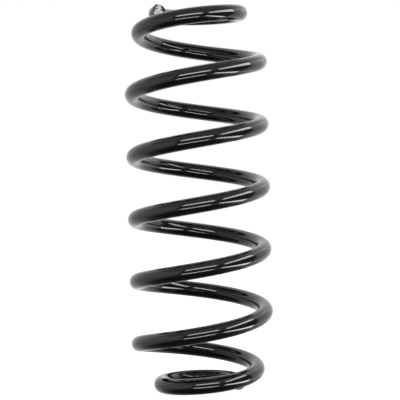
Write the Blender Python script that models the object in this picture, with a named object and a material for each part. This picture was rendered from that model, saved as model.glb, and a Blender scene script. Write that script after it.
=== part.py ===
"""Suspension coil spring: one painted round steel wire, with both ends drawn in to smaller turns.

The origin is on the spring's axis, in the plane that the lower end turn stands on. +Z runs up the axis,
and both cut ends of the wire look to the front, -Y. The wire climbs as it goes counterclockwise seen from
above, so the spring is wound right-handed.
"""

import math

import bpy

# Lengths are in metres. A stretch of the wire is given in turns, which are counted from the lower cut end.
WIRE_DIAMETER = 0.0145
BODY_OUTER_DIAMETER = 0.132
LOWER_END_OUTER_DIAMETER = 0.079
UPPER_END_OUTER_DIAMETER = 0.0845
FREE_LENGTH = 0.356
TURNS = 7.57

# Each end widens from its cut to the body over its taper.
LOWER_TAPER_TURNS = 1.63
UPPER_TAPER_TURNS = 1.69

# Each end is level from its cut for a stretch, and then steepens to the pitch of the body.
LOWER_LEVEL_TURNS = 0.23
LOWER_OPENING_TURNS = 1.22
UPPER_LEVEL_TURNS = 0.28
UPPER_OPENING_TURNS = 1.00

# The rolled edge round each sheared end face.
CUT_EDGE = 0.0008

# How finely the wire is faceted.
WIRE_SIDES = 16
STEPS_PER_TURN = 44

# A gloss black powder coat.
PAINT_COLOUR = (0.011, 0.011, 0.013, 1.0)
PAINT_ROUGHNESS = 0.16
PAINT_COAT_WEIGHT = 0.5

WIRE_RADIUS = WIRE_DIAMETER / 2
BODY_RADIUS = (BODY_OUTER_DIAMETER - WIRE_DIAMETER) / 2
LOWER_END_RADIUS = (LOWER_END_OUTER_DIAMETER - WIRE_DIAMETER) / 2
UPPER_END_RADIUS = (UPPER_END_OUTER_DIAMETER - WIRE_DIAMETER) / 2


def eased(share):
    """Go from 0 to 1 with a level start and end, and stay there outside that span."""
    share = min(max(share, 0.0), 1.0)
    return share * share * (3 - 2 * share)


def coil_radius(turn):
    """Return the distance of the wire's centre line from the axis, at a turn counted from the lower cut."""
    lower_draw = 1 - eased(turn / LOWER_TAPER_TURNS)
    upper_draw = 1 - eased((TURNS - turn) / UPPER_TAPER_TURNS)
    return (
        BODY_RADIUS
        - (BODY_RADIUS - LOWER_END_RADIUS) * lower_draw
        - (BODY_RADIUS - UPPER_END_RADIUS) * upper_draw
    )


def climb_share(turn):
    """Return how much of the body's pitch the wire has at a turn."""
    lower_open = eased((turn - LOWER_LEVEL_TURNS) / LOWER_OPENING_TURNS)
    upper_open = eased((TURNS - turn - UPPER_LEVEL_TURNS) / UPPER_OPENING_TURNS)
    return lower_open * upper_open


def turn_steps():
    """Return the turns at which the wire gets a section: evenly spaced, with one at each rolled edge."""
    lower_edge = CUT_EDGE / (2 * math.pi * LOWER_END_RADIUS)
    upper_edge = CUT_EDGE / (2 * math.pi * UPPER_END_RADIUS)
    first, last = lower_edge, TURNS - upper_edge
    count = round((last - first) * STEPS_PER_TURN)
    even = [first + (last - first) * step / count for step in range(count + 1)]
    return [0.0, *even, TURNS]


def heights(turns):
    """Return the height of the centre line at each turn, so that the whole spring has its free length."""
    rise = [0.0]
    for before, after in zip(turns, turns[1:]):
        rise.append(rise[-1] + climb_share((before + after) / 2) * (after - before))
    pitch = (FREE_LENGTH - WIRE_DIAMETER) / rise[-1]
    return [WIRE_RADIUS + pitch * climbed for climbed in rise]


def centre_line():
    """Return the points of the wire's centre line, from the lower cut to the upper one."""
    turns = turn_steps()
    points = []
    for turn, height in zip(turns, heights(turns)):
        angle = 2 * math.pi * turn
        reach = coil_radius(turn)
        points.append((reach * math.cos(angle), reach * math.sin(angle), height))
    return points


def make_paint():
    """Make the gloss black paint."""
    paint = bpy.data.materials.new("gloss_black_paint")
    paint.use_nodes = True
    paint.diffuse_color = PAINT_COLOUR
    shader = paint.node_tree.nodes["Principled BSDF"]
    shader.inputs["Base Color"].default_value = PAINT_COLOUR
    shader.inputs["Metallic"].default_value = 0.0
    shader.inputs["Roughness"].default_value = PAINT_ROUGHNESS
    shader.inputs["Coat Weight"].default_value = PAINT_COAT_WEIGHT
    return paint


def make_wire(collection):
    """Wind the wire: a round section drawn along the centre line, narrowed at the two rolled edges."""
    curve = bpy.data.curves.new("coil_spring", "CURVE")
    curve.dimensions = "3D"
    curve.twist_mode = "Z_UP"
    curve.bevel_depth = WIRE_RADIUS
    curve.bevel_resolution = (WIRE_SIDES - 4) // 2
    curve.use_fill_caps = True
    points = centre_line()
    spline = curve.splines.new("POLY")
    spline.points.add(len(points) - 1)
    for slot, place in zip(spline.points, points):
        slot.co = (*place, 1.0)
    for end in (spline.points[0], spline.points[-1]):
        end.radius = (WIRE_RADIUS - CUT_EDGE) / WIRE_RADIUS
    wire = bpy.data.objects.new("coil_spring", curve)
    curve.materials.append(make_paint())
    collection.objects.link(wire)
    return wire


def main():
    """Clear the scene and build the spring in a collection of its own."""
    for old in list(bpy.data.objects):
        bpy.data.objects.remove(old, do_unlink=True)
    collection = bpy.data.collections.new("suspension_spring")
    bpy.context.scene.collection.children.link(collection)
    make_wire(collection)


main()
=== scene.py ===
"""The finish of a suspension coil spring, and the studio that shows it.

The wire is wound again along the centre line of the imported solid, with a finer section, and gets its gloss
black powder coat. Each sheared end gets a bare steel face. Lengths are in metres, +Z runs up the spring's
axis, and a stretch of the wire is counted in turns from its lower cut.
"""

import logging
import math
from dataclasses import dataclass, field
from enum import Enum
from typing import Any, Callable, Optional, Union

import bpy
from mathutils import Matrix, Vector


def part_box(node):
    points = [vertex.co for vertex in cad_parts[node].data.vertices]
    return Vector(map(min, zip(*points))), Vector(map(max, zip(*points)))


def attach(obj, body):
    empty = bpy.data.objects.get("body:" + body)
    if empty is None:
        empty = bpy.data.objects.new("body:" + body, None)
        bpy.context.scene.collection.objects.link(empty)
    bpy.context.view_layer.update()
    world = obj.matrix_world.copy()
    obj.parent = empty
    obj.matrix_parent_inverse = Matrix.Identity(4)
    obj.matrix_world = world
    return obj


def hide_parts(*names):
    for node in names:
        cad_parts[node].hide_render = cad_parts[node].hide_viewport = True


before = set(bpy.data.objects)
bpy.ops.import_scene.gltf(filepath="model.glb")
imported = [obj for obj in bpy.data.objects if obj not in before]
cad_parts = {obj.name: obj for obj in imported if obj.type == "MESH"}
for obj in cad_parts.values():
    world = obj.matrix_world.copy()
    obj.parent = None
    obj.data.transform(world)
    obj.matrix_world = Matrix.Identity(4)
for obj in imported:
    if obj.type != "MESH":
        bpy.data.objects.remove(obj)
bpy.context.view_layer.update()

NODE = "coil_spring"
BODY = "root"
IMAGE_SIDE = 400
MILLIMETRE = 0.001

# Points nearer than this become one.
WELD_DISTANCE = 0.000001

# Edges sharper than this stay sharp.
SMOOTH_ANGLE = math.radians(35)

# A cap counts as near a place when its middle is within this distance.
CAP_REACH = 0.005

# A face looks up when its normal climbs more than this.
LOOKS_UP = 0.9

# The renderer divides a lamp's power by this and by its area to get its brightness.
LAMP_POWER_SHARE = 4

log = logging.getLogger("suspension_spring")


class Slot(Enum):
    """The record's material slots."""

    PAINT = "gloss_black_paint"
    STEEL = "sheared_steel"


class Cut(Enum):
    """The two sheared ends of the wire."""

    LOWER = "lower"
    UPPER = "upper"


class Bench:
    """The modelling steps that several pieces share."""

    @staticmethod
    def clear() -> None:
        """Leave edit mode and deselect everything."""
        if bpy.context.object and bpy.context.object.mode != "OBJECT":
            bpy.ops.object.mode_set(mode="OBJECT")
        bpy.ops.object.select_all(action="DESELECT")

    @staticmethod
    def take(piece: bpy.types.Object) -> None:
        """Make one piece the only selected one, and the active one.

        Args:
            piece: The object to work on.
        """
        Bench.clear()
        piece.select_set(True)
        bpy.context.view_layer.objects.active = piece

    @staticmethod
    def edit(piece: bpy.types.Object) -> None:
        """Open a piece in edit mode with nothing selected.

        Args:
            piece: The mesh object to work on.
        """
        Bench.take(piece)
        bpy.ops.object.mode_set(mode="EDIT")
        bpy.ops.mesh.select_mode(type="FACE")
        bpy.ops.mesh.select_all(action="DESELECT")

    @staticmethod
    def pick_faces(piece: bpy.types.Object, wanted: Callable[[bpy.types.MeshPolygon], bool]) -> None:
        """Select some faces.

        Args:
            piece: The mesh object, open in edit mode.
            wanted: Tells whether to select a face.
        """
        bpy.ops.mesh.select_mode(type="FACE")
        bpy.ops.mesh.select_all(action="DESELECT")
        bpy.ops.object.mode_set(mode="OBJECT")
        for face in piece.data.polygons:
            face.select = wanted(face)
        bpy.ops.object.mode_set(mode="EDIT")

    @staticmethod
    def pick_caps(piece: bpy.types.Object, near: Optional[Vector] = None) -> None:
        """Select the faces that close a tube, which have more than four corners.

        Args:
            piece: The mesh object, open in edit mode.
            near: Where to look for the one cap to select, or nothing to select them all.
        """
        Bench.pick_faces(piece, lambda face: len(face.vertices) > 4 and (
            near is None or (face.center - near).length < CAP_REACH))

    @staticmethod
    def draw_tube(
        name: str, knots: list[tuple[Vector, float]], radius: float, resolution: int
    ) -> bpy.types.Object:
        """Draw a round section along a line and make it a mesh with closed ends.

        Args:
            name: The piece's name.
            knots: The points of the line, each with its share of the radius.
            radius: The section's radius.
            resolution: How finely the section is divided: twice this and four more are its sides.

        Returns:
            The tube, open in edit mode with all of it selected.
        """
        Bench.clear()
        bpy.ops.curve.primitive_nurbs_path_add()
        tube = bpy.context.object
        tube.name = name
        path = tube.data
        path.splines.clear()
        path.twist_mode = "Z_UP"
        path.bevel_depth = radius
        path.bevel_resolution = resolution
        path.use_fill_caps = True
        run = path.splines.new("POLY")
        run.points.add(len(knots) - 1)
        for knot, (point, share) in zip(run.points, knots):
            knot.co = (*point, 1.0)
            knot.radius = share
        Bench.take(tube)
        bpy.ops.object.convert(target="MESH")
        Bench.edit(tube)
        bpy.ops.mesh.select_all(action="SELECT")
        bpy.ops.mesh.remove_doubles(threshold=WELD_DISTANCE)
        return tube

    @staticmethod
    def settle(piece: bpy.types.Object, place: Matrix) -> None:
        """Put a piece in its place and write that place into its mesh.

        Args:
            piece: The object, modelled round the origin.
            place: Where it goes.
        """
        Bench.take(piece)
        piece.matrix_world = place
        bpy.ops.object.transform_apply(location=True, rotation=True, scale=True)


Value = Union["Socket", float, tuple]


class Board:
    """A material's or a world's nodes, and the one way to add another."""

    def __init__(self, tree: bpy.types.NodeTree) -> None:
        """Start from an empty tree.

        Args:
            tree: The node tree to fill.
        """
        self.tree = tree
        tree.nodes.clear()

    def node(self, kind: str, settings: dict[str, Any], sockets: dict[Any, Value]) -> bpy.types.Node:
        """Add a node.

        Args:
            kind: The node's type.
            settings: Its options by name.
            sockets: Values or links of its inputs, by name or number.

        Returns:
            The new node.
        """
        made = self.tree.nodes.new(kind)
        for name, setting in settings.items():
            setattr(made, name, setting)
        for name, value in sockets.items():
            if isinstance(value, Socket):
                self.tree.links.new(value.end, made.inputs[name])
            else:
                made.inputs[name].default_value = value
        return made

    def add(
        self, kind: str, settings: dict[str, Any], sockets: dict[Any, Value], output: Any = 0
    ) -> "Socket":
        """Add a node and take one of its outputs.

        Args:
            kind: The node's type.
            settings: Its options by name.
            sockets: Values or links of its inputs, by name or number.
            output: The output's name or number.

        Returns:
            The output, ready for arithmetic.
        """
        return Socket(self, self.node(kind, settings, sockets).outputs[output])


class Socket:
    """One output of a node. Arithmetic on it adds Math nodes."""

    def __init__(self, board: Board, end: bpy.types.NodeSocket) -> None:
        """Wrap an output.

        Args:
            board: The board that its node is on.
            end: The output itself.
        """
        self.board = board
        self.end = end

    def _math(self, operation: str, first: Value, second: Value) -> "Socket":
        """Add a Math node on two values."""
        return self.board.add("ShaderNodeMath", {"operation": operation}, {0: first, 1: second})

    def __add__(self, other: Value) -> "Socket":
        """Return self + other."""
        return self._math("ADD", self, other)

    def __radd__(self, other: Value) -> "Socket":
        """Return other + self."""
        return self._math("ADD", other, self)

    def __sub__(self, other: Value) -> "Socket":
        """Return self - other."""
        return self._math("SUBTRACT", self, other)

    def __rsub__(self, other: Value) -> "Socket":
        """Return other - self."""
        return self._math("SUBTRACT", other, self)

    def __mul__(self, other: Value) -> "Socket":
        """Return self * other."""
        return self._math("MULTIPLY", self, other)

    def __rmul__(self, other: Value) -> "Socket":
        """Return other * self."""
        return self._math("MULTIPLY", other, self)

    def __pow__(self, other: Value) -> "Socket":
        """Return self ** other."""
        return self._math("POWER", self, other)

    def __rpow__(self, other: Value) -> "Socket":
        """Return other ** self."""
        return self._math("POWER", other, self)

    def band(self, low: float, high: float) -> "Socket":
        """Return 0 below low, 1 above high, and a smooth step between.

        Args:
            low: Where the step starts. It may be the larger number, and then the step goes down.
            high: Where it ends.

        Returns:
            The stepped value.
        """
        sockets = {"Value": self, "From Min": low, "From Max": high}
        return self.board.add("ShaderNodeMapRange", {"interpolation_type": "SMOOTHSTEP"}, sockets)

    def mixed(self, before: tuple, after: tuple) -> "Socket":
        """Use this value as the share of a second colour.

        Args:
            before: The colour at 0.
            after: The colour at 1.

        Returns:
            The mixed colour.
        """
        sockets = {"Factor": self, "A": before, "B": after}
        return self.board.add("ShaderNodeMix", {"data_type": "RGBA"}, sockets, "Result")


def colour(red: float, green: float, blue: float) -> tuple[float, float, float, float]:
    """Return an opaque colour."""
    return (red, green, blue, 1.0)


@dataclass(frozen=True)
class EndTurns:
    """How one end of the wire is drawn in and levelled."""

    outer_diameter: float
    taper_turns: float
    level_turns: float
    opening_turns: float


@dataclass(frozen=True)
class CentreLine:
    """The line down the middle of the wire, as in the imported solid."""

    outer_diameter: float
    free_length: float
    wire_diameter: float = 0.0145
    turns: float = 7.57
    lower: EndTurns = EndTurns(0.079, 1.63, 0.23, 1.22)
    upper: EndTurns = EndTurns(0.0845, 1.69, 0.28, 1.00)
    end_step: float = 0.0045
    steps_per_turn: int = 180

    @property
    def wire_radius(self) -> float:
        """Return half the wire's diameter."""
        return self.wire_diameter / 2

    @classmethod
    def of_frame(cls) -> "CentreLine":
        """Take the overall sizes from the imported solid.

        Returns:
            The centre line that fits it.
        """
        low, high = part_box(NODE)
        return cls(outer_diameter=high.x - low.x, free_length=high.z - low.z)

    @staticmethod
    def eased(share: float) -> float:
        """Go from 0 to 1 with a level start and end, and stay there outside that span.

        Args:
            share: How far along the span a place is.

        Returns:
            The eased share.
        """
        share = min(max(share, 0.0), 1.0)
        return share * share * (3 - 2 * share)

    def reach(self, turn: float) -> float:
        """Find the distance of the line from the axis.

        Args:
            turn: The place along the wire.

        Returns:
            The distance.
        """
        body = (self.outer_diameter - self.wire_diameter) / 2
        lower_end = (self.lower.outer_diameter - self.wire_diameter) / 2
        upper_end = (self.upper.outer_diameter - self.wire_diameter) / 2
        lower_draw = 1 - self.eased(turn / self.lower.taper_turns)
        upper_draw = 1 - self.eased((self.turns - turn) / self.upper.taper_turns)
        return body - (body - lower_end) * lower_draw - (body - upper_end) * upper_draw

    def climb_share(self, turn: float) -> float:
        """Find how much of the body's pitch the line has.

        Args:
            turn: The place along the wire.

        Returns:
            The share.
        """
        lower_open = self.eased((turn - self.lower.level_turns) / self.lower.opening_turns)
        upper_open = self.eased((self.turns - turn - self.upper.level_turns) / self.upper.opening_turns)
        return lower_open * upper_open

    def places(self) -> list[float]:
        """Choose where the wire gets a section, with room for a rolled edge at each cut.

        Returns:
            The turns of the sections, from the lower cut to the upper one.
        """
        first = self.end_step / (2 * math.pi * self.reach(0.0))
        last = self.turns - self.end_step / (2 * math.pi * self.reach(self.turns))
        count = round((last - first) * self.steps_per_turn)
        even = [first + (last - first) * step / count for step in range(count + 1)]
        return [0.0, *even, self.turns]

    def points(self) -> list[Vector]:
        """Work out the line's points, so that the whole spring has its free length.

        Returns:
            The points, from the lower cut to the upper one.
        """
        places = self.places()
        rise = [0.0]
        for before, after in zip(places, places[1:]):
            rise.append(rise[-1] + self.climb_share((before + after) / 2) * (after - before))
        pitch = (self.free_length - self.wire_diameter) / rise[-1]
        return [
            Vector((
                self.reach(turn) * math.cos(math.tau * turn),
                self.reach(turn) * math.sin(math.tau * turn),
                self.wire_radius + pitch * climbed,
            ))
            for turn, climbed in zip(places, rise)
        ]

    def cut_place(self, cut: Cut) -> Matrix:
        """Find the plane of a cut.

        Args:
            cut: Which end.

        Returns:
            A place in the middle of the cut, whose Z looks out of the wire and whose Y looks up.
        """
        points = self.points()
        middle, inside = (points[0], points[1]) if cut is Cut.LOWER else (points[-1], points[-2])
        out = (middle - inside).normalized()
        side = Vector((0, 0, 1)).cross(out).normalized()
        up = out.cross(side)
        turned = Matrix((side, up, out)).transposed().to_4x4()
        return Matrix.Translation(middle) @ turned


@dataclass(frozen=True)
class PowderCoat:
    """Gloss black powder coat: a deep black with a slightly rippled skin and a few specks."""

    black: tuple = colour(0.0007, 0.00065, 0.0008)
    speck_grey: tuple = colour(0.02, 0.02, 0.022)
    roughness: float = 0.10
    roughness_swing: float = 0.03
    sheen: float = 0.5
    ripple_size: float = 0.0045
    ripple_depth: float = 0.0000035
    film_size: float = 0.036
    film_edge: tuple[float, float] = (0.35, 0.75)
    speck_spacing: float = 0.004
    speck_edge: tuple[float, float] = (0.09, 0.05)
    speck_patch: tuple[float, float] = (0.5, 0.62)
    speck_height: float = 0.8

    def material(self, name: str) -> bpy.types.Material:
        """Make the paint.

        Args:
            name: The material's name.

        Returns:
            The material.
        """
        paint = bpy.data.materials.new(name)
        paint.use_nodes = True
        board = Board(paint.node_tree)
        place = board.add("ShaderNodeTexCoord", {}, {}, "Object")
        ripple = board.add("ShaderNodeTexNoise", {}, {
            "Vector": place, "Scale": 1 / self.ripple_size, "Detail": 2.0, "Roughness": 0.4})
        film = board.add("ShaderNodeTexNoise", {}, {
            "Vector": place, "Scale": 1 / self.film_size, "Detail": 4.0, "Roughness": 0.6})
        cells = board.add("ShaderNodeTexVoronoi", {}, {"Vector": place, "Scale": 1 / self.speck_spacing})
        speck = cells.band(*self.speck_edge) * film.band(*self.speck_patch)
        bump = board.add("ShaderNodeBump", {}, {
            "Strength": 1.0, "Distance": self.ripple_depth, "Height": ripple + speck * self.speck_height})
        shader = board.add("ShaderNodeBsdfPrincipled", {}, {
            "Base Color": speck.mixed(self.black, self.speck_grey),
            "Metallic": 0.0,
            "Roughness": film.band(*self.film_edge) * self.roughness_swing + self.roughness,
            "IOR": 1.5,
            "Specular IOR Level": self.sheen,
            "Normal": bump,
        })
        board.node("ShaderNodeOutputMaterial", {}, {"Surface": shader})
        return paint


TORN_PAINT = PowderCoat(roughness=0.4, sheen=0.08)


@dataclass(frozen=True)
class ShearedSteel:
    """A sheared steel face: pale and torn, with dark spots, and darker round its edge."""

    steel: tuple = colour(0.235, 0.222, 0.218)
    scale_black: tuple = colour(0.02, 0.019, 0.018)
    spot_size: float = 0.0019
    grain_size: float = 0.0005
    rim: tuple[float, float] = (0.0052, 0.0066)
    rim_share: float = 0.08
    grain_share: float = 0.05
    dark_edge: tuple[float, float] = (0.60, 0.70)
    relief: float = 0.00005
    dark_relief: float = 0.5
    metallic: float = 0.45
    dark_metallic_drop: float = 0.4
    roughness: float = 0.5
    dark_roughness: float = 0.15
    grain_roughness: float = 0.1

    def material(self, cut: Cut, place: Matrix) -> bpy.types.Material:
        """Make the steel of one face.

        Args:
            cut: Which end.
            place: The plane of the face, which centres the pattern.

        Returns:
            The material.
        """
        steel = bpy.data.materials.new(f"{cut.value}_sheared_steel")
        steel.use_nodes = True
        board = Board(steel.node_tree)
        spot = board.add("ShaderNodeTexCoord", {}, {}, "Object")
        flat = board.add("ShaderNodeMapping", {"vector_type": "TEXTURE"}, {
            "Vector": spot, "Location": place.to_translation(), "Rotation": place.to_euler()})
        spots = board.add("ShaderNodeTexNoise", {}, {
            "Vector": flat, "Scale": 1 / self.spot_size, "Detail": 2.0, "Roughness": 0.5})
        grain = board.add("ShaderNodeTexNoise", {}, {
            "Vector": flat, "Scale": 1 / self.grain_size, "Detail": 3.0, "Roughness": 0.6})
        reach = board.add("ShaderNodeVectorMath", {"operation": "LENGTH"}, {0: flat}, "Value")
        rim = reach.band(*self.rim)
        dark = (spots + rim * self.rim_share + grain * self.grain_share).band(*self.dark_edge)
        bump = board.add("ShaderNodeBump", {}, {
            "Strength": 1.0, "Distance": self.relief, "Height": grain + dark * self.dark_relief})
        shader = board.add("ShaderNodeBsdfPrincipled", {}, {
            "Base Color": dark.mixed(self.steel, self.scale_black),
            "Metallic": self.metallic - dark * self.dark_metallic_drop,
            "Roughness": self.roughness + dark * self.dark_roughness + grain * self.grain_roughness,
            "Normal": bump,
        })
        board.node("ShaderNodeOutputMaterial", {}, {"Surface": shader})
        return steel


@dataclass
class PaintedWire:
    """The wire under its paint. The shear rolled the edge of each cut, and cut the upper end aslant."""

    line: CentreLine
    sides: int = 56
    edge_roll: float = 0.0006
    edge_segments: int = 5
    upper_slant: float = math.radians(20)
    paint_rim: float = 0.00015
    step_width: float = 0.00002
    step_depth: float = 0.00012
    coat: PowderCoat = field(default_factory=PowderCoat)

    @property
    def bare_radius(self) -> float:
        """Return the radius of the bare face inside the paint's rim."""
        return self.line.wire_radius - self.edge_roll - self.paint_rim

    def wind(self) -> bpy.types.Object:
        """Wind the wire along its centre line and close each end with one flat face.

        Returns:
            The wire.
        """
        knots = [(point, 1.0) for point in self.line.points()]
        wire = Bench.draw_tube("painted_wire", knots, self.line.wire_radius, (self.sides - 4) // 2)
        bpy.ops.mesh.normals_make_consistent(inside=False)
        Bench.pick_faces(wire, lambda face: len(face.vertices) == 3)
        bpy.ops.mesh.dissolve_faces()
        Bench.clear()
        return wire

    def shape_ends(self, wire: bpy.types.Object) -> None:
        """Turn the upper cut aslant, roll the edge of each cut, and step the paint down to the bare face.

        Args:
            wire: The wound wire.
        """
        middle = self.line.cut_place(Cut.UPPER).to_translation()
        Bench.edit(wire)
        Bench.pick_caps(wire, middle)
        bpy.ops.transform.rotate(value=-self.upper_slant, orient_axis="Z", center_override=middle)
        Bench.pick_caps(wire)
        bpy.ops.mesh.region_to_loop()
        bpy.ops.mesh.bevel(offset=self.edge_roll, segments=self.edge_segments, affect="EDGES")
        Bench.pick_caps(wire)
        bpy.ops.mesh.inset(thickness=self.paint_rim, depth=0.0)
        bpy.ops.mesh.inset(thickness=self.step_width, depth=-self.step_depth)
        Bench.clear()

    def face_place(self, cut: Cut) -> Matrix:
        """Find the plane of a bare face.

        Args:
            cut: Which end.

        Returns:
            A place in the middle of the face, whose Z looks out of the wire and whose Y looks up.
        """
        slant = self.upper_slant if cut is Cut.UPPER else 0.0
        return self.line.cut_place(cut) @ Matrix.Rotation(slant, 4, "Y")

    def build(self) -> bpy.types.Object:
        """Make the wire and dress it.

        Returns:
            The finished piece.
        """
        wire = self.wind()
        self.shape_ends(wire)
        Bench.take(wire)
        bpy.ops.object.shade_smooth_by_angle(angle=SMOOTH_ANGLE)
        wire.data.materials.clear()
        wire.data.materials.append(self.coat.material("powder_coat"))
        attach(wire, BODY)
        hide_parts(NODE)
        log.info("%s: %d faces", wire.name, len(wire.data.polygons))
        return wire


@dataclass
class BareFace:
    """The bare steel face of one cut, a thin disc that lies inside the paint's rim."""

    cut: Cut
    wire: PaintedWire
    corners: int = 96
    rings: int = 24
    thickness: float = 0.0004
    rim_gap: float = 0.00003
    set_back: float = 0.00002
    torn_share: float = 0.9
    tear_size: float = 0.0022
    tear_depth: float = 0.00022
    tear_level: float = 0.9
    tear_octaves: int = 3
    steel: ShearedSteel = field(default_factory=ShearedSteel)

    def model(self) -> bpy.types.Object:
        """Model the face round the origin, looking up.

        Returns:
            A thin disc in rings.
        """
        radius = self.wire.bare_radius - self.rim_gap
        Bench.clear()
        bpy.ops.mesh.primitive_cylinder_add(
            vertices=self.corners, radius=radius, depth=self.thickness,
            location=(0, 0, -self.thickness / 2))
        face = bpy.context.object
        face.name = f"{self.cut.value}_cut_face"
        Bench.settle(face, face.matrix_world.copy())
        Bench.edit(face)
        Bench.pick_faces(face, lambda side: side.normal.z > LOOKS_UP)
        for _ in range(self.rings - 1):
            bpy.ops.mesh.inset(thickness=radius / self.rings, depth=0.0)
        bpy.ops.mesh.poke()
        Bench.clear()
        self.tear(face)
        return face

    def tear(self, face: bpy.types.Object) -> None:
        """Roughen the face as a shear does, and leave its edge level.

        Args:
            face: The disc in rings.
        """
        limit = self.wire.bare_radius * self.torn_share
        torn = [
            spot.index
            for spot in face.data.vertices
            if spot.co.z > -self.thickness / 2 and spot.co.xy.length < limit
        ]
        inner = face.vertex_groups.new(name="inner")
        inner.add(torn, 1.0, "REPLACE")
        clouds = bpy.data.textures.new(face.name, "CLOUDS")
        clouds.noise_scale = self.tear_size
        clouds.noise_depth = self.tear_octaves
        rough = face.modifiers.new("tear", "DISPLACE")
        rough.texture = clouds
        rough.direction = "Z"
        rough.mid_level = self.tear_level
        rough.strength = self.tear_depth
        rough.vertex_group = inner.name
        bpy.ops.object.modifier_apply(modifier=rough.name)

    def build(self) -> bpy.types.Object:
        """Make the face, set it in its cut and dress it.

        Returns:
            The finished piece.
        """
        face = self.model()
        place = self.wire.face_place(self.cut)
        Bench.settle(face, place @ Matrix.Translation((0, 0, -self.set_back)))
        bpy.ops.object.shade_smooth_by_angle(angle=SMOOTH_ANGLE)
        face.data.materials.append(self.steel.material(self.cut, place))
        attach(face, BODY)
        log.info("%s: %d faces", face.name, len(face.data.polygons))
        return face


@dataclass(frozen=True)
class PaintFlake:
    """Black paint that the shear dragged over a bare face.

    Its places are across and up from the face's middle, and these and its half widths are in millimetres.
    """

    cut: Cut
    places: tuple[tuple[float, float], ...]
    half_widths: tuple[float, ...]
    thickness: float = 0.0001
    resolution: int = 3
    between: int = 5

    def points(self) -> list[tuple[Vector, float]]:
        """Draw a smooth line through the flake's places.

        Returns:
            Points along the flake, each with its half width.
        """
        last = len(self.places) - 1
        count = last * self.between
        run = []
        for step in range(count + 1):
            share = step / self.between
            index = min(int(share), last - 1)
            share -= index
            around = [Vector(self.places[min(max(index + shift, 0), last)]) for shift in (-1, 0, 1, 2)]
            slope_in, slope_out = (around[2] - around[0]) / 2, (around[3] - around[1]) / 2
            spot = (around[1] * (1 + 2 * share) * (1 - share) ** 2 + slope_in * share * (1 - share) ** 2
                    + around[2] * share ** 2 * (3 - 2 * share) + slope_out * share ** 2 * (share - 1))
            width = self.half_widths[index] * (1 - share) + self.half_widths[index + 1] * share
            run.append((spot, width))
        return run

    def build(self, wire: PaintedWire, paint: bpy.types.Material, number: int) -> bpy.types.Object:
        """Make the flake and lay it on its face.

        Args:
            wire: The wire that has the face.
            paint: The torn paint.
            number: The flake's number, for its name.

        Returns:
            The finished piece.
        """
        knots = [
            (Vector((spot.x * MILLIMETRE, spot.y * MILLIMETRE, 0.0)), width)
            for spot, width in self.points()
        ]
        name = f"{self.cut.value}_paint_flake_{number}"
        flake = Bench.draw_tube(name, knots, MILLIMETRE, self.resolution)
        flatness = self.thickness / MILLIMETRE
        bpy.ops.transform.resize(value=(1, 1, flatness), center_override=(0, 0, 0))
        Bench.settle(flake, wire.face_place(self.cut))
        bpy.ops.object.shade_smooth()
        flake.data.materials.clear()
        flake.data.materials.append(paint)
        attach(flake, BODY)
        log.info("%s: %d faces", flake.name, len(flake.data.polygons))
        return flake


FLAKES = (
    PaintFlake(Cut.UPPER, ((-6.7, 2.6), (-6.1, 3.9), (-5.0, 5.2), (-3.5, 6.3), (-1.8, 6.9)),
               (0.3, 0.9, 1.0, 0.95, 0.3)),
    PaintFlake(Cut.UPPER, ((-6.5, 2.4), (-6.3, 1.3), (-6.2, 0.2)), (0.4, 1.1, 0.4)),
    PaintFlake(Cut.UPPER, ((1.8, 5.8), (3.3, 5.0), (4.5, 3.9), (5.3, 2.6), (5.6, 1.2), (5.7, -0.3)),
               (0.3, 1.1, 1.3, 1.5, 1.4, 0.4)),
    PaintFlake(Cut.UPPER, ((5.2, 2.3), (3.2, 2.3), (1.3, 2.1)), (0.7, 0.65, 0.25)),
    PaintFlake(Cut.UPPER, ((-3.5, 3.5), (-2.9, 3.0), (-2.4, 2.5)), (0.4, 0.85, 0.3)),
    PaintFlake(Cut.UPPER, ((-5.2, -3.9), (-3.6, -5.4), (-1.6, -6.3), (0.8, -6.5)), (0.2, 0.6, 0.8, 0.2)),
    PaintFlake(Cut.LOWER, ((-6.1, 2.0), (-6.5, 0.2), (-6.0, -2.0), (-4.6, -4.4)), (0.2, 0.7, 0.6, 0.2)),
    PaintFlake(Cut.LOWER, ((2.2, 6.2), (4.0, 5.1), (5.6, 3.2), (6.3, 1.0)), (0.2, 0.9, 0.8, 0.2)),
    PaintFlake(Cut.LOWER, ((5.2, -3.9), (3.6, -5.4), (1.0, -6.5), (-1.6, -6.5), (-4.0, -5.4)),
               (0.2, 0.5, 0.3, 0.5, 0.2)),
)


@dataclass(frozen=True)
class Strip:
    """A long thin studio lamp that stands level, seen from above as a line between two places."""

    name: str
    start: tuple[float, float]
    end: tuple[float, float]
    height: float
    width: float
    radiance: float

    def build(self) -> None:
        """Hang the lamp so that it looks at the spring."""
        start = Vector((*self.start, self.height))
        end = Vector((*self.end, self.height))
        along = (end - start).normalized()
        up = Vector((0, 0, 1))
        back = along.cross(up)
        middle = (start + end) / 2
        if back.dot(middle) < 0:
            along, back = -along, -back
        Bench.clear()
        bpy.ops.object.light_add(type="AREA")
        lamp = bpy.context.object
        lamp.name = self.name
        lamp.matrix_world = Matrix.Translation(middle) @ Matrix((along, up, back)).transposed().to_4x4()
        lamp.data.shape = "RECTANGLE"
        lamp.data.size = (end - start).length
        lamp.data.size_y = self.width
        lamp.data.energy = self.radiance * LAMP_POWER_SHARE * lamp.data.size * lamp.data.size_y
        lamp.visible_camera = False


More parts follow.
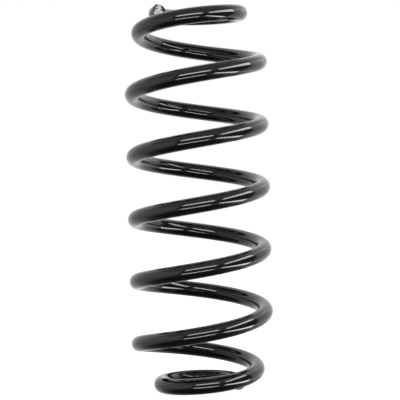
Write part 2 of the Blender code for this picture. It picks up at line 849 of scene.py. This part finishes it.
@dataclass
class Tent:
    """The light tent: walls of lit cloth that only show as reflections in the paint.

    Its front and right walls are dark behind the lamps, and its floor is dark under the spring. A seam is
    where a wall changes from dark to lit, and its fade is half the width of that change.
    """

    left: float = -0.77
    right: float = 0.552
    front: float = -0.888
    back: float = 0.715
    floor: float = -0.229
    ceiling: float = 0.677
    cloth: float = 0.926
    cloth_middle: float = 0.1
    cloth_rise: float = 0.585
    cloth_curve: float = -0.97
    front_dark: float = 0.235
    front_seam: float = -0.604
    front_fade: float = 0.03
    right_dark: float = 0.164
    right_seam: float = 0.048
    right_fade: float = 0.05
    right_bright: float = 1.12
    right_middle: float = 0.15
    right_curve: float = 4.6
    ceiling_front: float = 0.62
    ceiling_back: float = 1.16
    ceiling_seam: float = 0.12
    ceiling_fade: float = 0.08
    back_bright: float = 1.058
    back_middle: float = 0.2
    back_slant: float = 0.215
    back_rise: float = 0.193
    floor_dark: float = 0.086
    floor_bright: float = 0.81
    floor_middle: tuple[float, float] = (-0.07, -0.341)
    floor_reach: float = 0.575
    floor_fade: float = 0.262
    cool: tuple = colour(1.01, 0.995, 1.0)
    warm: tuple = colour(1.02, 1.0, 0.97)

    def _wall(
        self,
        name: str,
        low_corner: tuple[float, float, float],
        high_corner: tuple[float, float, float],
        glow: Callable[[Socket, Socket, Socket], Socket],
        tint: tuple,
    ) -> None:
        """Put up one wall.

        Args:
            name: The wall's name.
            low_corner: Its lowest corner.
            high_corner: Its highest corner, which shares the coordinate of the wall's plane.
            glow: A function of the place's three coordinates that gives the brightness.
            tint: The cloth's colour.
        """
        low, high = Vector(low_corner), Vector(high_corner)
        span = high - low
        flat = min(range(3), key=lambda axis: span[axis])
        axes = [axis for axis in range(3) if axis != flat]
        first, second, facing = Vector(), Vector(), Vector()
        first[axes[0]], second[axes[1]], facing[flat] = span[axes[0]], span[axes[1]], 1.0
        Bench.clear()
        bpy.ops.mesh.primitive_plane_add(size=1.0)
        wall = bpy.context.object
        wall.name = name
        frame_of_wall = Matrix((first, second, facing)).transposed().to_4x4()
        Bench.settle(wall, Matrix.Translation((low + high) / 2) @ frame_of_wall)
        cloth = bpy.data.materials.new(name)
        cloth.use_nodes = True
        board = Board(cloth.node_tree)
        place = board.node("ShaderNodeSeparateXYZ", {}, {
            0: board.add("ShaderNodeTexCoord", {}, {}, "Object")})
        east, north, rise = (Socket(board, end) for end in place.outputs)
        light = board.add("ShaderNodeEmission", {}, {
            "Color": tint, "Strength": glow(east, north, rise)})
        board.node("ShaderNodeOutputMaterial", {}, {"Surface": light})
        wall.data.materials.append(cloth)
        wall.visible_camera = False
        wall.visible_diffuse = False
        wall.visible_shadow = False
        wall.visible_transmission = False

    def _cloth_glow(self, rise: Socket) -> Socket:
        """Return the brightness of plain cloth, which is brightest a little above the middle."""
        height = rise - self.cloth_middle
        return height * self.cloth_rise + height * height * self.cloth_curve + self.cloth

    def _front_glow(self, east: Socket, north: Socket, rise: Socket) -> Socket:
        """Return the front wall's brightness: cloth left of the seam, and dark right of it."""
        lit = east.band(self.front_seam + self.front_fade, self.front_seam - self.front_fade)
        return lit * (self._cloth_glow(rise) - self.front_dark) + self.front_dark

    def _right_glow(self, east: Socket, north: Socket, rise: Socket) -> Socket:
        """Light the right wall: dark up to its seam, and lit behind it, most at its top.

        Args:
            east: How far right the place is; not used here.
            north: How far back it is.
            rise: How high it is.

        Returns:
            The brightness.
        """
        lit = north.band(self.right_seam - self.right_fade, self.right_seam + self.right_fade)
        height = rise - self.right_middle
        glow = height * height * self.right_curve + (self.right_bright - self.right_dark)
        return lit * glow + self.right_dark

    def _left_glow(self, east: Socket, north: Socket, rise: Socket) -> Socket:
        """Return the left wall's brightness: plain cloth."""
        return self._cloth_glow(rise)

    def _back_glow(self, east: Socket, north: Socket, rise: Socket) -> Socket:
        """Return the back wall's brightness: a little more to the right and above."""
        base = self.back_bright - self.back_middle * self.back_rise
        return east * self.back_slant + rise * self.back_rise + base

    def _ceiling_glow(self, east: Socket, north: Socket, rise: Socket) -> Socket:
        """Return the ceiling's brightness: brighter behind its seam."""
        lit = north.band(self.ceiling_seam - self.ceiling_fade, self.ceiling_seam + self.ceiling_fade)
        return lit * (self.ceiling_back - self.ceiling_front) + self.ceiling_front

    def _floor_glow(self, east: Socket, north: Socket, rise: Socket) -> Socket:
        """Light the tent's floor, which has a dark round patch that fades out.

        Args:
            east: How far right the place is.
            north: How far back it is.
            rise: How high it is; not used here.

        Returns:
            The brightness.
        """
        away_east = east - self.floor_middle[0]
        away_north = north - self.floor_middle[1]
        reach = (away_east * away_east + away_north * away_north) ** 0.5
        lit = reach.band(self.floor_reach - self.floor_fade, self.floor_reach + self.floor_fade)
        return lit * (self.floor_bright - self.floor_dark) + self.floor_dark

    def build(self) -> None:
        """Put up the six walls."""
        low = (self.left, self.front, self.floor)
        high = (self.right, self.back, self.ceiling)
        self._wall("tent_front", low, (high[0], low[1], high[2]), self._front_glow, self.cool)
        self._wall("tent_right", (high[0], low[1], low[2]), high, self._right_glow, self.warm)
        self._wall("tent_left", low, (low[0], high[1], high[2]), self._left_glow, self.cool)
        self._wall("tent_back", (low[0], high[1], low[2]), high, self._back_glow, self.warm)
        self._wall("tent_ceiling", (low[0], low[1], high[2]), high, self._ceiling_glow, self.cool)
        self._wall("tent_floor", low, (high[0], high[1], low[2]), self._floor_glow, self.cool)


@dataclass
class Studio:
    """The pale floor, the white surroundings, the light tent, the strip lamps and the camera."""

    tent: Tent = field(default_factory=Tent)
    front_lamps: tuple[float, float] = (-0.468, 0.354)
    right_lamps: tuple[float, float] = (-0.78, 0.028)
    lamp_gap: float = 0.004
    floor_side: float = 6.0
    floor_grey: float = 0.25
    floor_glow: float = 0.9
    camera_place: tuple[float, float, float] = (0.0, -1.2591, 0.2108)
    camera_dip: float = 0.0269
    camera_roll: float = -0.0246
    camera_shift_pixels: float = 1.05
    lens: float = 122.76
    sensor_width: float = 36.0

    def build_surroundings(self) -> None:
        """Light the spring from all round with white."""
        world = bpy.data.worlds.new("white_surroundings")
        bpy.context.scene.world = world
        world.use_nodes = True
        board = Board(world.node_tree)
        light = board.add("ShaderNodeBackground", {}, {"Color": colour(1.0, 1.0, 1.0), "Strength": 1.0})
        board.node("ShaderNodeOutputWorld", {}, {"Surface": light})

    def build_floor(self) -> None:
        """Lay the pale floor, which the paint doesn't mirror."""
        Bench.clear()
        bpy.ops.mesh.primitive_plane_add(size=self.floor_side)
        floor = bpy.context.object
        floor.name = "pale_floor"
        pale = bpy.data.materials.new("pale_floor")
        pale.use_nodes = True
        board = Board(pale.node_tree)
        shader = board.add("ShaderNodeBsdfPrincipled", {}, {
            "Base Color": colour(self.floor_grey, self.floor_grey, self.floor_grey),
            "Roughness": 0.9,
            "Specular IOR Level": 0.0,
            "Emission Color": colour(1, 1, 1),
            "Emission Strength": self.floor_glow,
        })
        board.node("ShaderNodeOutputMaterial", {}, {"Surface": shader})
        floor.data.materials.append(pale)
        floor.visible_glossy = False
        floor.visible_shadow = False

    def strips(self) -> tuple[Strip, ...]:
        """Choose the lamps: one high and one low on the front wall, and the same on the right wall.

        Returns:
            The four lamps.
        """
        front, right = self.tent.front + self.lamp_gap, self.tent.right - self.lamp_gap
        on_front = [(east, front) for east in self.front_lamps]
        on_right = [(right, north) for north in self.right_lamps]
        return (
            Strip("front_upper_strip", *on_front, height=0.545, width=0.190, radiance=10.0),
            Strip("front_lower_strip", *on_front, height=-0.2025, width=0.120, radiance=12.8),
            Strip("right_upper_strip", *on_right, height=0.523, width=0.227, radiance=8.05),
            Strip("right_lower_strip", *on_right, height=-0.188, width=0.185, radiance=11.0),
        )

    def build_camera(self) -> None:
        """Look at the spring from in front, as in the photograph."""
        Bench.clear()
        bpy.ops.object.camera_add()
        camera = bpy.context.object
        camera.name = "camera"
        camera.data.sensor_width = self.sensor_width
        camera.data.lens = self.lens
        camera.data.shift_x = self.camera_shift_pixels / IMAGE_SIDE
        camera.matrix_world = (
            Matrix.Translation(self.camera_place)
            @ Matrix.Rotation(math.radians(90) - self.camera_dip, 4, "X")
            @ Matrix.Rotation(self.camera_roll, 4, "Z")
        )
        bpy.context.scene.camera = camera

    def build(self) -> None:
        """Make the whole studio."""
        bpy.context.scene.view_settings.view_transform = "Standard"
        self.build_surroundings()
        self.build_floor()
        self.tent.build()
        for strip in self.strips():
            strip.build()
        self.build_camera()
        log.info("studio: floor, surroundings, tent, lamps and camera")


def main() -> None:
    """Build the spring and its studio, and report each piece."""
    logging.basicConfig(level=logging.INFO, format="%(name)s: %(message)s")
    wire = PaintedWire(CentreLine.of_frame())
    wire.build()
    for cut in Cut:
        BareFace(cut, wire).build()
    torn_paint = TORN_PAINT.material("torn_powder_coat")
    for number, flake in enumerate(FLAKES, 1):
        flake.build(wire, torn_paint, number)
    Studio().build()


if __name__ == "__main__":
    main()
